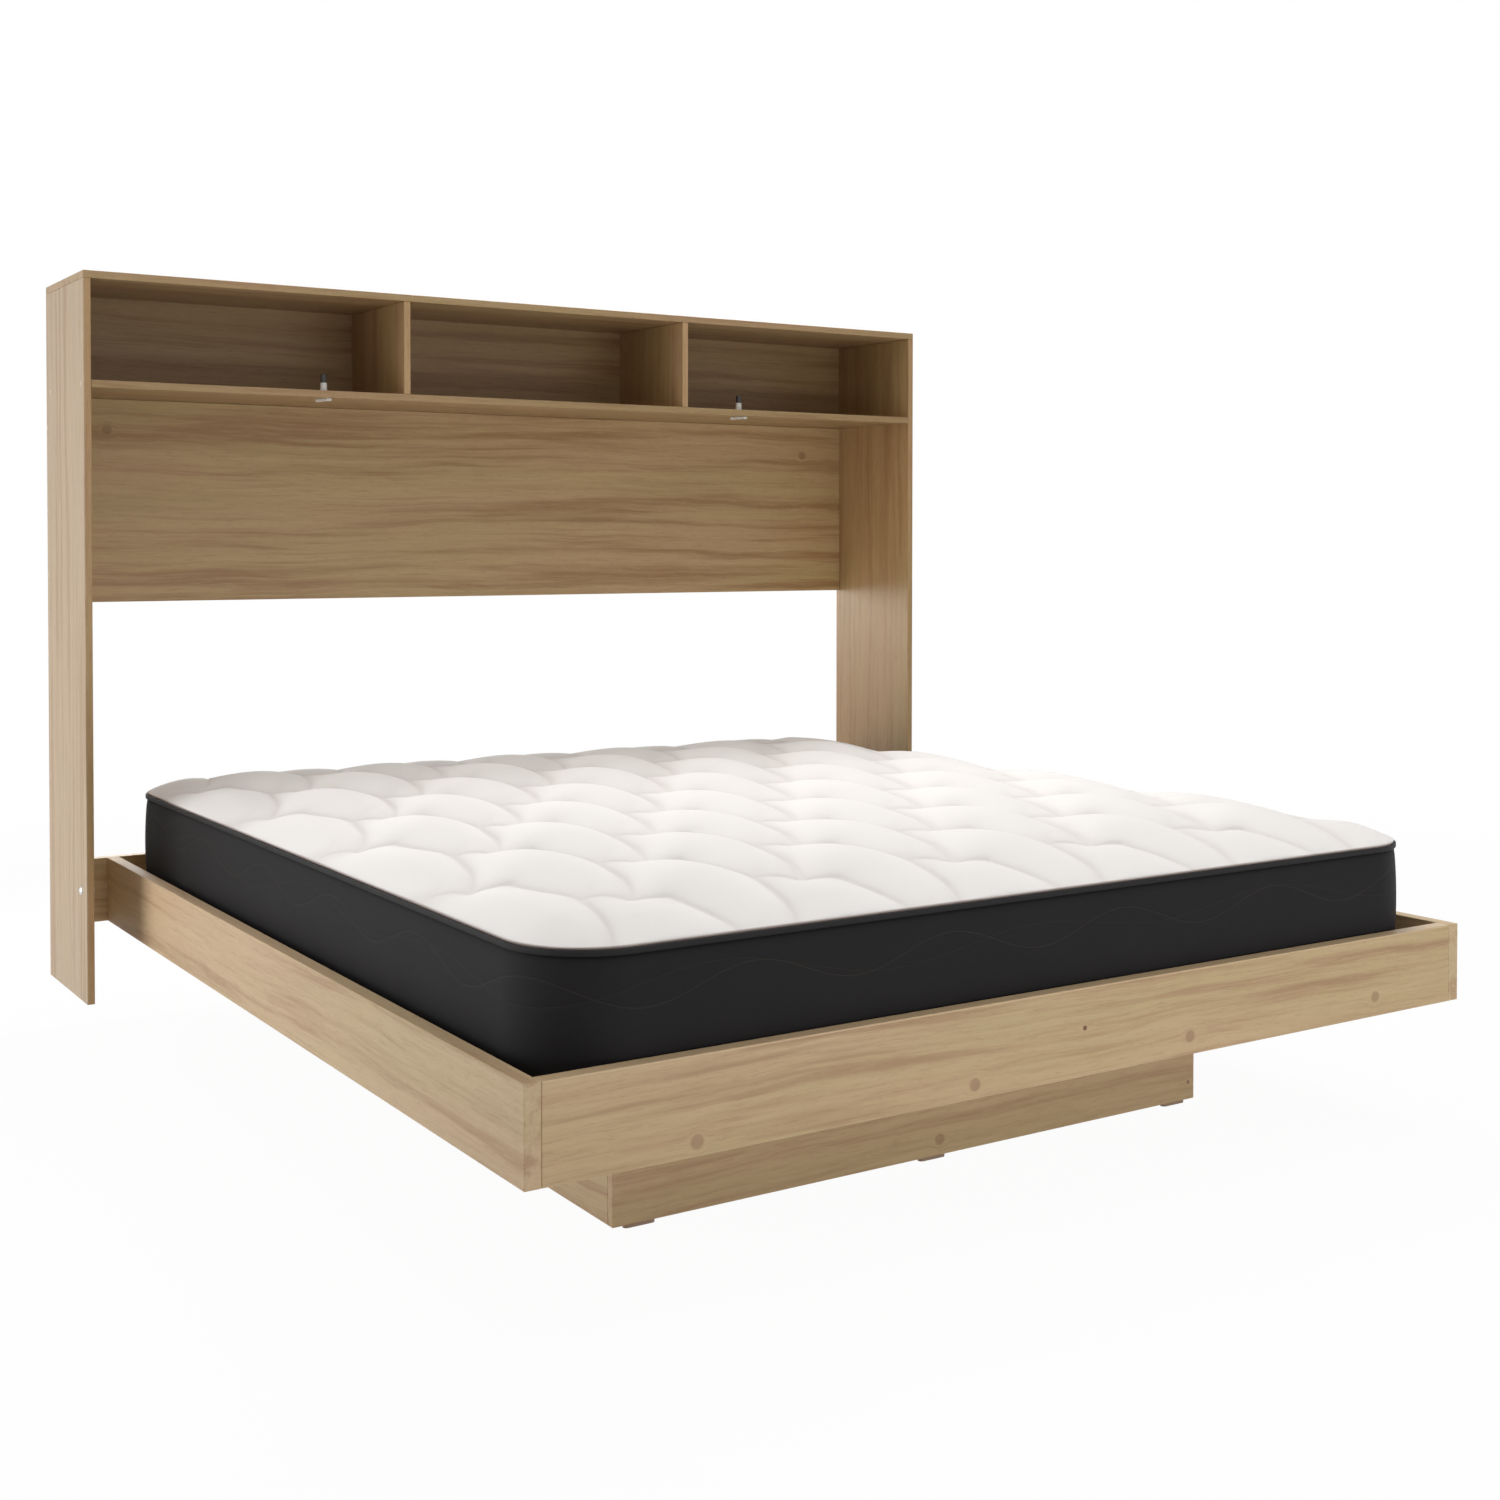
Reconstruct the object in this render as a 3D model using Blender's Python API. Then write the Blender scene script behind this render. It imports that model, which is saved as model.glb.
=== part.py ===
"""A double platform bed built from boards: a bridge headboard with three niches and an open gap below its
back panel, a low frame of rails on a recessed plinth, slats, and a quilted mattress that lies inside the rails.

Units are metres, +Z is up, -Y is the foot of the bed and +Y the head. The origin is on the floor, in the
middle of the bed's footprint.
"""

import math

import bmesh
import bpy
from mathutils import Vector

# Fits
GAP = 0.0003
OVERRUN = 0.002
EDGE_ROUND = 0.0008

# Mattress
MATTRESS_WIDTH = 1.78
MATTRESS_LENGTH = 2.00
MATTRESS_CORNER = 0.13
MATTRESS_SIDE_PLAY = 0.020
MATTRESS_FOOT_PLAY = 0.004
MATTRESS_HEAD_PLAY = 0.016
BORDER_HEIGHT = 0.209
BORDER_BULGE = 0.005
CROWN_HEIGHT = 0.042
SEAM_GROOVE_DEPTH = 0.0055
SEAM_GROOVE_RISE = 0.008
PIPING_RADIUS = 0.0045
LOWER_SEAM_HEIGHT = 0.012

# Quilting of the mattress's top
PUFF_HEIGHT = 0.018
LEAF_LENGTH = 0.445
LEAF_COLUMN = 0.1475
LEAF_WAVE = 0.026

# Boards
BOARD = 0.015
NICHE_BACK = 0.003
NICHE_GROOVE_DEPTH = 0.005
NICHE_GROOVE_INSET = 0.006

# Headboard
RAIL_TO_PANEL = 0.100
HEADBOARD_DEPTH = 0.320
HEADBOARD_TOP = 1.590
SIDE_PANEL_FOOT = 0.110
NICHE_HEIGHT = 0.204
MIDDLE_NICHE_SHARE = 0.338
BACK_PANEL_HEIGHT = 0.4417

# Bed frame
RAIL = 0.025
RAIL_FOOT = 0.219
RAIL_HEIGHT = 0.138
CORNER_BLOCK = 0.040
CORNER_BLOCK_CHAMFER = 0.018
CORNER_BLOCK_HEIGHT = 0.110
BEARER_HEIGHT = 0.032
BEARER_WIDTH = 0.070
LEDGER_HEIGHT = 0.022
LEDGER_WIDTH = 0.030
CENTRE_BEAM_WIDTH = 0.060
SLAT_THICKNESS = 0.018
SLAT_WIDTH = 0.090

# Plinth
PLINTH_WIDTH = 1.240
PLINTH_FOOT_SETBACK = 0.340
PLINTH_HEAD_SETBACK = 0.100
GLIDE_HEIGHT = 0.005
GLIDE_LENGTH = 0.055
GLIDE_WIDTH = 0.013
GLIDE_INSET = 0.022

# Steel brace and bolt that square each side panel to the head rail
BRACE_THICKNESS = 0.004
BRACE_HEIGHT = 0.030
BRACE_SHORT_LEG = 0.060
BRACE_BEND = 0.006
BRACE_TOP_INSET = 0.007
BRACE_FRONT_INSET = 0.024
BOLT_INSET = 0.044
BOLT_SHANK_RADIUS = 0.003
BOLT_HEAD_RADIUS = 0.0085
BOLT_HEAD_HEIGHT = 0.004
BOLT_NUT_RADIUS = 0.0055
BOLT_NUT_HEIGHT = 0.005
BOLT_CLEARANCE = 0.0004

# Switch fittings on the shelf
SWITCH_FROM_CENTRE = 0.535
SWITCH_INSET = 0.040
SWITCH_BASE_RADIUS = 0.0082
SWITCH_NECK_RADIUS = 0.0068
SWITCH_BODY_HEIGHT = 0.019
SWITCH_WALL = 0.0012
SWITCH_POCKET = 0.007
SWITCH_SHANK_RADIUS = 0.004
SWITCH_SHANK_CLEARANCE = 0.0004
BUTTON_CLEARANCE = 0.0003
BUTTON_HEIGHT = 0.0185
BUTTON_STEM_DEPTH = 0.004
BUTTON_ROUND = 0.0012
BUTTON_LIP = 0.0022
PLATE_LENGTH = 0.054
PLATE_LOBE_RADIUS = 0.0065
PLATE_WAIST = 0.008
PLATE_THICKNESS = 0.005
PLATE_ANGLE = math.radians(102)

# Shares and counts
CROWN_EDGE_SHARES = 8
LEAF_CELLS = 6
BEARER_COUNT = 4
SLAT_COUNT = 12
ROUND_SIDES = 24
PIPING_SIDES = 8
BORDER_STEPS = 4
NECK_HEIGHT_SHARE = 0.3
SIDE_LINE_HEIGHT_SHARE = 0.72
PUFF_FALL_SHARE = 3

# Places that several pieces share
BED_LENGTH = MATTRESS_LENGTH + MATTRESS_FOOT_PLAY + MATTRESS_HEAD_PLAY + 2 * RAIL
BED_WIDTH = MATTRESS_WIDTH + 2 * MATTRESS_SIDE_PLAY + 2 * RAIL
FOOT_Y = -BED_LENGTH / 2
HEAD_Y = BED_LENGTH / 2
HEADBOARD_FRONT_Y = HEAD_Y - HEADBOARD_DEPTH
PANEL_INNER_X = BED_WIDTH / 2 + RAIL_TO_PANEL
PANEL_OUTER_X = PANEL_INNER_X + BOARD
TOP_BOARD_FOOT = HEADBOARD_TOP - BOARD
SHELF_TOP = TOP_BOARD_FOOT - NICHE_HEIGHT
SHELF_FOOT = SHELF_TOP - BOARD
BACK_PANEL_TOP = SHELF_FOOT - GAP
BACK_PANEL_FOOT = BACK_PANEL_TOP - BACK_PANEL_HEIGHT
DIVIDER_X = PANEL_INNER_X * MIDDLE_NICHE_SHARE + BOARD / 2
NICHE_BACK_REAR_Y = HEAD_Y - NICHE_GROOVE_INSET
NICHE_BACK_FRONT_Y = NICHE_BACK_REAR_Y - NICHE_BACK
RAIL_OUTER_X = BED_WIDTH / 2
RAIL_INNER_X = RAIL_OUTER_X - RAIL
RAIL_TOP = RAIL_FOOT + RAIL_HEIGHT
HEAD_RAIL_FRONT_Y = HEAD_Y - RAIL
FOOT_RAIL_REAR_Y = FOOT_Y + RAIL
BEARER_TOP = RAIL_FOOT + BEARER_HEIGHT
LEDGER_FOOT = BEARER_TOP + GAP
LEDGER_TOP = LEDGER_FOOT + LEDGER_HEIGHT
SLAT_FOOT = LEDGER_TOP + GAP
SLAT_TOP = SLAT_FOOT + SLAT_THICKNESS
PLINTH_X = PLINTH_WIDTH / 2
PLINTH_FOOT_Y = FOOT_Y + PLINTH_FOOT_SETBACK
PLINTH_HEAD_Y = HEAD_Y - PLINTH_HEAD_SETBACK
PLINTH_TOP = RAIL_FOOT - GAP
MATTRESS_FOOT = SLAT_TOP + GAP
SEAM_Z = MATTRESS_FOOT + BORDER_HEIGHT
BORDER_X = MATTRESS_WIDTH / 2 - BORDER_BULGE
BORDER_Y = MATTRESS_LENGTH / 2 - BORDER_BULGE
MATTRESS_Y = FOOT_Y + RAIL + MATTRESS_FOOT_PLAY + MATTRESS_LENGTH / 2
BRACE_TOP = RAIL_TOP - BRACE_TOP_INSET
BOLT_Z = BRACE_TOP - BRACE_HEIGHT / 2
BOLT_Y = HEADBOARD_FRONT_Y + BOLT_INSET
SWITCH_Y = HEADBOARD_FRONT_Y + SWITCH_INSET
SIDES = (("left", -1), ("right", 1))


def clear_scene():
    for item in list(bpy.data.objects):
        bpy.data.objects.remove(item, do_unlink=True)


def material(name, colour, roughness, metallic=0.0):
    made = bpy.data.materials.new(name)
    made.use_nodes = True
    shader = made.node_tree.nodes["Principled BSDF"]
    shader.inputs["Base Color"].default_value = (*colour, 1.0)
    shader.inputs["Roughness"].default_value = roughness
    shader.inputs["Metallic"].default_value = metallic
    return made


def finish(name, shape, look, smooth_angle=None):
    """Turn a bmesh into a named object with one material."""
    bmesh.ops.recalc_face_normals(shape, faces=shape.faces)
    mesh = bpy.data.meshes.new(name)
    shape.to_mesh(mesh)
    shape.free()
    if smooth_angle is not None:
        mesh.shade_smooth()
        mesh.set_sharp_from_angle(angle=smooth_angle)
    made = bpy.data.objects.new(name, mesh)
    made.data.materials.append(look)
    bpy.context.scene.collection.objects.link(made)
    return made


def box_shape(low, high):
    """A box between two corners."""
    shape = bmesh.new()
    bmesh.ops.create_cube(shape, size=1.0)
    low, high = Vector(low), Vector(high)
    for vert in shape.verts:
        share = vert.co + Vector((0.5, 0.5, 0.5))
        vert.co = Vector(low[i] + (high[i] - low[i]) * share[i] for i in range(3))
    return shape


def board(name, low, high, look, rounding=EDGE_ROUND):
    """A board between two corners, its edges eased by a narrow bevel."""
    made = finish(name, box_shape(low, high), look)
    bevel = made.modifiers.new("eased edges", "BEVEL")
    bevel.width = rounding
    bevel.segments = 1
    return made


def prism_shape(outline, low, high, place):
    """Extrude a closed outline of (a, b) points from low to high; place(a, b, c) gives a point in space."""
    shape = bmesh.new()
    bottom = [shape.verts.new(place(a, b, low)) for a, b in outline]
    top = [shape.verts.new(place(a, b, high)) for a, b in outline]
    shape.faces.new(bottom)
    shape.faces.new(top)
    for i in range(len(outline)):
        j = (i + 1) % len(outline)
        shape.faces.new((bottom[i], bottom[j], top[j], top[i]))
    return shape


def turned_shape(profile, centre, axis, sides=ROUND_SIDES):
    """Revolve a profile of (radius, distance along the axis) points; its ends lie on the axis."""
    axis = Vector(axis)
    across = axis.orthogonal().normalized()
    up = axis.cross(across)
    shape = bmesh.new()
    rings = []
    for radius, along in profile:
        middle = Vector(centre) + axis * along
        if radius == 0:
            rings.append([shape.verts.new(middle)])
            continue
        ring = []
        for i in range(sides):
            turn = 2 * math.pi * i / sides
            ring.append(shape.verts.new(middle + across * (radius * math.cos(turn)) + up * (radius * math.sin(turn))))
        rings.append(ring)
    for lower, upper in zip(rings, rings[1:]):
        for i in range(sides):
            j = (i + 1) % sides
            if len(lower) == 1:
                shape.faces.new((lower[0], upper[i], upper[j]))
            elif len(upper) == 1:
                shape.faces.new((lower[i], lower[j], upper[0]))
            else:
                shape.faces.new((lower[i], lower[j], upper[j], upper[i]))
    return shape


def cut(target, cutter_shape, name):
    """Cut a shape out of an object and hide the cutter."""
    cutter = finish(name, cutter_shape, target.data.materials[0])
    cutter.hide_render = True
    cutter.display_type = "WIRE"
    boolean = target.modifiers.new(name, "BOOLEAN")
    boolean.operation = "DIFFERENCE"
    boolean.solver = "EXACT"
    boolean.object = cutter


def rod_cutter(radius, centre, axis, low, high):
    return turned_shape(((0, low), (radius, low), (radius, high), (0, high)), centre, axis)


# Headboard


def build_side_panel(side, sign, oak):
    """Upright panel; its inner face has the groove of the niche back and the hole of the brace bolt."""
    inner, outer = sorted((sign * PANEL_INNER_X, sign * PANEL_OUTER_X))
    low = (inner, HEADBOARD_FRONT_Y, SIDE_PANEL_FOOT)
    high = (outer, HEAD_Y, TOP_BOARD_FOOT - GAP)
    panel = board(f"headboard_side_panel_{side}", low, high, oak)
    groove_x = sorted((sign * (PANEL_INNER_X - OVERRUN), sign * (PANEL_INNER_X + NICHE_GROOVE_DEPTH)))
    groove = box_shape(
        (groove_x[0], NICHE_BACK_FRONT_Y - GAP, SHELF_TOP - NICHE_GROOVE_DEPTH),
        (groove_x[1], NICHE_BACK_REAR_Y + GAP, TOP_BOARD_FOOT + OVERRUN),
    )
    cut(panel, groove, f"niche_groove_cutter_{side}")
    hole = rod_cutter(
        BOLT_SHANK_RADIUS + BOLT_CLEARANCE,
        (sign * PANEL_INNER_X, BOLT_Y, BOLT_Z),
        (sign, 0, 0),
        -OVERRUN,
        BOARD + OVERRUN,
    )
    cut(panel, hole, f"bolt_hole_cutter_{side}")


def build_top_board(oak):
    """Top board, laid over both side panels."""
    low = (-PANEL_OUTER_X, HEADBOARD_FRONT_Y, TOP_BOARD_FOOT)
    high = (PANEL_OUTER_X, HEAD_Y, HEADBOARD_TOP)
    top = board("headboard_top_board", low, high, oak)
    groove = box_shape(
        (-PANEL_INNER_X - NICHE_GROOVE_DEPTH, NICHE_BACK_FRONT_Y - GAP, TOP_BOARD_FOOT - OVERRUN),
        (PANEL_INNER_X + NICHE_GROOVE_DEPTH, NICHE_BACK_REAR_Y + GAP, TOP_BOARD_FOOT + NICHE_GROOVE_DEPTH),
    )
    cut(top, groove, "top_groove_cutter")


def build_shelf(oak):
    """Shelf between the side panels, grooved for the niche back and bored for the two switch fittings."""
    end_x = PANEL_INNER_X - GAP
    shelf = board("niche_shelf", (-end_x, HEADBOARD_FRONT_Y, SHELF_FOOT), (end_x, HEAD_Y, SHELF_TOP), oak)
    groove = box_shape(
        (-end_x - OVERRUN, NICHE_BACK_FRONT_Y - GAP, SHELF_TOP - NICHE_GROOVE_DEPTH),
        (end_x + OVERRUN, NICHE_BACK_REAR_Y + GAP, SHELF_TOP + OVERRUN),
    )
    cut(shelf, groove, "shelf_groove_cutter")
    for side, sign in SIDES:
        hole = rod_cutter(
            SWITCH_SHANK_RADIUS + SWITCH_SHANK_CLEARANCE,
            (sign * SWITCH_FROM_CENTRE, SWITCH_Y, SHELF_FOOT),
            (0, 0, 1),
            -OVERRUN,
            BOARD + OVERRUN,
        )
        cut(shelf, hole, f"switch_hole_cutter_{side}")


def build_divider(side, sign, oak):
    """Upright between the shelf and the top board, stopping at the niche back."""
    low = (sign * DIVIDER_X - BOARD / 2, HEADBOARD_FRONT_Y, SHELF_TOP + GAP)
    high = (sign * DIVIDER_X + BOARD / 2, NICHE_BACK_FRONT_Y - GAP, TOP_BOARD_FOOT - GAP)
    board(f"niche_divider_{side}", low, high, oak)


def build_niche_back(oak):
    """Thin back of the niches, held in grooves on all four sides."""
    reach = NICHE_GROOVE_DEPTH - GAP
    low = (-PANEL_INNER_X - reach, NICHE_BACK_FRONT_Y, SHELF_TOP - reach)
    high = (PANEL_INNER_X + reach, NICHE_BACK_REAR_Y, TOP_BOARD_FOOT + reach)
    finish("niche_back_panel", box_shape(low, high), oak)


def build_lower_back(oak):
    """Thick back panel under the shelf, with open space below it."""
    end_x = PANEL_INNER_X - GAP
    low = (-end_x, HEAD_Y - BOARD, BACK_PANEL_FOOT)
    high = (end_x, HEAD_Y, BACK_PANEL_TOP)
    board("lower_back_panel", low, high, oak)


def build_brace(side, sign, steel):
    """Flat steel bar bent into an angle: along the side panel's inner face, then across the head rail."""
    steps = 6
    face_x = PANEL_INNER_X - GAP
    rail_y = HEAD_RAIL_FRONT_Y - GAP
    front_y = HEADBOARD_FRONT_Y + BRACE_FRONT_INSET
    outline = [(face_x, front_y)]
    for radius, turn_order in ((BRACE_BEND + BRACE_THICKNESS, range(steps + 1)), (BRACE_BEND, range(steps, -1, -1))):
        if radius == BRACE_BEND:
            outline.append((face_x - BRACE_SHORT_LEG, rail_y))
            outline.append((face_x - BRACE_SHORT_LEG, rail_y - BRACE_THICKNESS))
        centre = (face_x - BRACE_BEND - BRACE_THICKNESS, rail_y - BRACE_BEND - BRACE_THICKNESS)
        for i in turn_order:
            turn = math.pi / 2 * i / steps
            outline.append((centre[0] + radius * math.cos(turn), centre[1] + radius * math.sin(turn)))
    outline.append((face_x - BRACE_THICKNESS, front_y))
    shape = prism_shape(outline, BRACE_TOP - BRACE_HEIGHT, BRACE_TOP, lambda a, b, c: (sign * a, b, c))
    brace = finish(f"panel_brace_{side}", shape, steel)
    hole = rod_cutter(
        BOLT_SHANK_RADIUS + BOLT_CLEARANCE,
        (sign * face_x, BOLT_Y, BOLT_Z),
        (-sign, 0, 0),
        -OVERRUN,
        BRACE_THICKNESS + OVERRUN,
    )
    cut(brace, hole, f"brace_hole_cutter_{side}")


def build_bolt(side, sign, steel):
    """Dome-headed bolt through the side panel and the brace, with its nut run up to the brace."""
    steps = 5
    nut_start = BOARD + GAP + BRACE_THICKNESS + GAP
    nut_end = nut_start + BOLT_NUT_HEIGHT
    profile = []
    for i in range(steps + 1):
        turn = math.pi / 2 * i / steps
        profile.append((BOLT_HEAD_RADIUS * math.sin(turn), -GAP - BOLT_HEAD_HEIGHT * math.cos(turn)))
    profile[0] = (0, profile[0][1])
    profile += [
        (BOLT_SHANK_RADIUS, -GAP),
        (BOLT_SHANK_RADIUS, nut_start),
        (BOLT_NUT_RADIUS, nut_start),
        (BOLT_NUT_RADIUS, nut_end),
        (0, nut_end),
    ]
    centre = (sign * PANEL_OUTER_X, BOLT_Y, BOLT_Z)
    finish(f"panel_bolt_{side}", turned_shape(profile, centre, (-sign, 0, 0)), steel, math.radians(40))


def build_switch(side, sign, white, black):
    """Fitting on the shelf: tapered white body with a shank through the shelf, black button, plate below."""
    centre = (sign * SWITCH_FROM_CENTRE, SWITCH_Y, SHELF_TOP + GAP)
    pocket_foot = SWITCH_BODY_HEIGHT - SWITCH_POCKET
    pocket_radius = SWITCH_NECK_RADIUS - SWITCH_WALL
    shank_foot = -BOARD - 2 * GAP
    body_profile = (
        (0, shank_foot),
        (SWITCH_SHANK_RADIUS, shank_foot),
        (SWITCH_SHANK_RADIUS, 0),
        (SWITCH_BASE_RADIUS, 0),
        (SWITCH_NECK_RADIUS, SWITCH_BODY_HEIGHT),
        (pocket_radius, SWITCH_BODY_HEIGHT),
        (pocket_radius, pocket_foot),
        (0, pocket_foot),
    )
    body_shape = turned_shape(body_profile, centre, (0, 0, 1))
    finish(f"switch_body_{side}", body_shape, white, math.radians(40))

    stem_radius = pocket_radius - BUTTON_CLEARANCE
    rim = SWITCH_BODY_HEIGHT + BUTTON_LIP
    top = SWITCH_BODY_HEIGHT + BUTTON_HEIGHT
    button_profile = (
        (0, SWITCH_BODY_HEIGHT - BUTTON_STEM_DEPTH),
        (stem_radius, SWITCH_BODY_HEIGHT - BUTTON_STEM_DEPTH),
        (stem_radius, rim),
        (SWITCH_NECK_RADIUS - BUTTON_CLEARANCE, rim),
        (SWITCH_NECK_RADIUS - BUTTON_CLEARANCE, top - BUTTON_ROUND),
        (SWITCH_NECK_RADIUS - BUTTON_CLEARANCE - BUTTON_ROUND, top),
        (0, top),
    )
    zero = (0, 0, 0)
    button = finish(f"switch_button_{side}", turned_shape(button_profile, zero, (0, 0, 1)), black, math.radians(40))
    button.location = centre


def build_switch_plate(side, sign, white):
    """Oblong plate with two round lobes, held against the shelf's underside by the switch's shank."""
    steps = 8
    lobe_from_centre = PLATE_LENGTH / 2 - PLATE_LOBE_RADIUS
    waist_turn = math.asin(PLATE_WAIST / 2 / PLATE_LOBE_RADIUS)
    outline = []
    for end in (1, -1):
        for i in range(steps + 1):
            turn = -(math.pi - waist_turn) + 2 * (math.pi - waist_turn) * i / steps
            along = end * (lobe_from_centre + PLATE_LOBE_RADIUS * math.cos(turn))
            outline.append((along, end * PLATE_LOBE_RADIUS * math.sin(turn)))
    centre = (sign * SWITCH_FROM_CENTRE, SWITCH_Y)
    cosine, sine = math.cos(PLATE_ANGLE), math.sin(PLATE_ANGLE)

    def place(a, b, c):
        return (centre[0] + a * cosine - b * sine, centre[1] + a * sine + b * cosine, c)

    top = SHELF_FOOT - 2 * GAP
    finish(f"switch_plate_{side}", prism_shape(outline, top - PLATE_THICKNESS, top, place), white)


# Bed frame


def build_side_rail(side, sign, oak):
    """Side rail; its end shows beside the foot rail, and its other end meets the head rail."""
    inner, outer = sorted((sign * RAIL_INNER_X, sign * RAIL_OUTER_X))
    low = (inner, FOOT_Y, RAIL_FOOT)
    high = (outer, HEAD_RAIL_FRONT_Y - GAP, RAIL_TOP)
    board(f"side_rail_{side}", low, high, oak)


def build_end_rails(oak):
    """Foot rail between the side rails, and head rail between the headboard's side panels."""
    foot_x = RAIL_INNER_X - GAP
    board("foot_rail", (-foot_x, FOOT_Y, RAIL_FOOT), (foot_x, FOOT_RAIL_REAR_Y, RAIL_TOP), oak)
    head_x = PANEL_INNER_X - GAP
    board("head_rail", (-head_x, HEAD_RAIL_FRONT_Y, RAIL_FOOT), (head_x, HEAD_Y, RAIL_TOP), oak)


def build_corner_block(side, sign, pine):
    """Glued block that ties the foot rail to a side rail, with its inner corner chamfered."""
    face_x = RAIL_INNER_X - GAP
    face_y = FOOT_RAIL_REAR_Y + GAP
    inner_x = face_x - CORNER_BLOCK
    inner_y = face_y + CORNER_BLOCK
    outline = (
        (face_x, face_y),
        (face_x, inner_y),
        (inner_x + CORNER_BLOCK_CHAMFER, inner_y),
        (inner_x, inner_y - CORNER_BLOCK_CHAMFER),
        (inner_x, face_y),
    )
    foot = SLAT_TOP - CORNER_BLOCK_HEIGHT / 2
    shape = prism_shape(outline, RAIL_FOOT, foot, lambda a, b, c: (sign * a, b, c))
    finish(f"corner_block_{side}", shape, pine)


def build_bearers(pine):
    """Cross bearers that carry the rails and the slat supports on the plinth."""
    end_x = RAIL_INNER_X - GAP
    first = PLINTH_FOOT_Y + BEARER_WIDTH / 2
    last = PLINTH_HEAD_Y - BEARER_WIDTH / 2
    for i in range(BEARER_COUNT):
        y = first + (last - first) * i / (BEARER_COUNT - 1)
        low = (-end_x, y - BEARER_WIDTH / 2, RAIL_FOOT)
        high = (end_x, y + BEARER_WIDTH / 2, BEARER_TOP)
        board(f"cross_bearer_{i + 1}", low, high, pine)


def build_slat_supports(pine):
    """A ledger along each side rail and a beam down the middle, all resting on the bearers."""
    low_y = FOOT_RAIL_REAR_Y + CORNER_BLOCK + 2 * GAP
    high_y = HEAD_RAIL_FRONT_Y - GAP
    for side, sign in SIDES:
        inner, outer = sorted((sign * (RAIL_INNER_X - GAP - LEDGER_WIDTH), sign * (RAIL_INNER_X - GAP)))
        board(f"slat_ledger_{side}", (inner, low_y, LEDGER_FOOT), (outer, high_y, LEDGER_TOP), pine)
    half = CENTRE_BEAM_WIDTH / 2
    low = (-half, FOOT_RAIL_REAR_Y + GAP, LEDGER_FOOT)
    board("centre_beam", low, (half, high_y, LEDGER_TOP), pine)


def build_slats(pine):
    """Slats across the bed, evenly spaced from the corner blocks to the head rail."""
    end_x = RAIL_INNER_X - GAP
    first = FOOT_RAIL_REAR_Y + CORNER_BLOCK + 2 * GAP + SLAT_WIDTH / 2
    last = HEAD_RAIL_FRONT_Y - GAP - SLAT_WIDTH / 2
    for i in range(SLAT_COUNT):
        y = first + (last - first) * i / (SLAT_COUNT - 1)
        low = (-end_x, y - SLAT_WIDTH / 2, SLAT_FOOT)
        high = (end_x, y + SLAT_WIDTH / 2, SLAT_TOP)
        board(f"slat_{i + 1:02d}", low, high, pine)


# Plinth


def build_plinth(oak, pine):
    """Box of five boards, set back under the frame on all sides."""
    foot = GLIDE_HEIGHT + GAP
    board(
        "plinth_foot_board",
        (-PLINTH_X, PLINTH_FOOT_Y, foot),
        (PLINTH_X, PLINTH_FOOT_Y + BOARD, PLINTH_TOP),
        oak,
    )
    board(
        "plinth_head_board",
        (-PLINTH_X, PLINTH_HEAD_Y - BOARD, foot),
        (PLINTH_X, PLINTH_HEAD_Y, PLINTH_TOP),
        oak,
    )
    low_y = PLINTH_FOOT_Y + BOARD + GAP
    high_y = PLINTH_HEAD_Y - BOARD - GAP
    for side, sign in SIDES:
        inner, outer = sorted((sign * (PLINTH_X - BOARD), sign * PLINTH_X))
        board(f"plinth_side_board_{side}", (inner, low_y, foot), (outer, high_y, PLINTH_TOP), oak)
    board("plinth_centre_board", (-BOARD / 2, low_y, foot), (BOARD / 2, high_y, PLINTH_TOP), pine)


def stadium(length, width, steps=6):
    """Outline of a bar with round ends, along its first axis."""
    radius = width / 2
    points = []
    for end in (1, -1):
        for i in range(steps + 1):
            turn = -math.pi / 2 + math.pi * i / steps
            points.append((end * (length / 2 - radius + radius * math.cos(turn)), end * radius * math.sin(turn)))
    return points


def build_glides(black):
    """Three low glides under the foot board of the plinth and three under its head board."""
    rows = (("foot", PLINTH_FOOT_Y + BOARD / 2), ("head", PLINTH_HEAD_Y - BOARD / 2))
    reach = PLINTH_X - GLIDE_INSET - GLIDE_LENGTH / 2
    columns = (("left", -reach), ("middle", 0), ("right", reach))
    for row, y in rows:
        for column, x in columns:
            outline = stadium(GLIDE_LENGTH, GLIDE_WIDTH)
            shape = prism_shape(outline, 0, GLIDE_HEIGHT, lambda a, b, c: (x + a, y + b, c))
            finish(f"plinth_glide_{row}_{column}", shape, black)


# Mattress


def mattress_point(u, v, inset):
    """Map a point of the square -1..1 to the mattress's rounded outline, drawn in by inset."""
    half_x, half_y = BORDER_X - inset, BORDER_Y - inset
    radius = MATTRESS_CORNER - inset
    x, y = u * half_x, v * half_y
    a = (abs(x) - half_x + radius) / radius
    b = (abs(y) - half_y + radius) / radius
    if a > 0 and b > 0:
        round_a = a * math.sqrt(1 - b * b / 2)
        round_b = b * math.sqrt(1 - a * a / 2)
        x = math.copysign(half_x - radius + radius * round_a, x)
        y = math.copysign(half_y - radius + radius * round_b, y)
    return x, y + MATTRESS_Y


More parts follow.
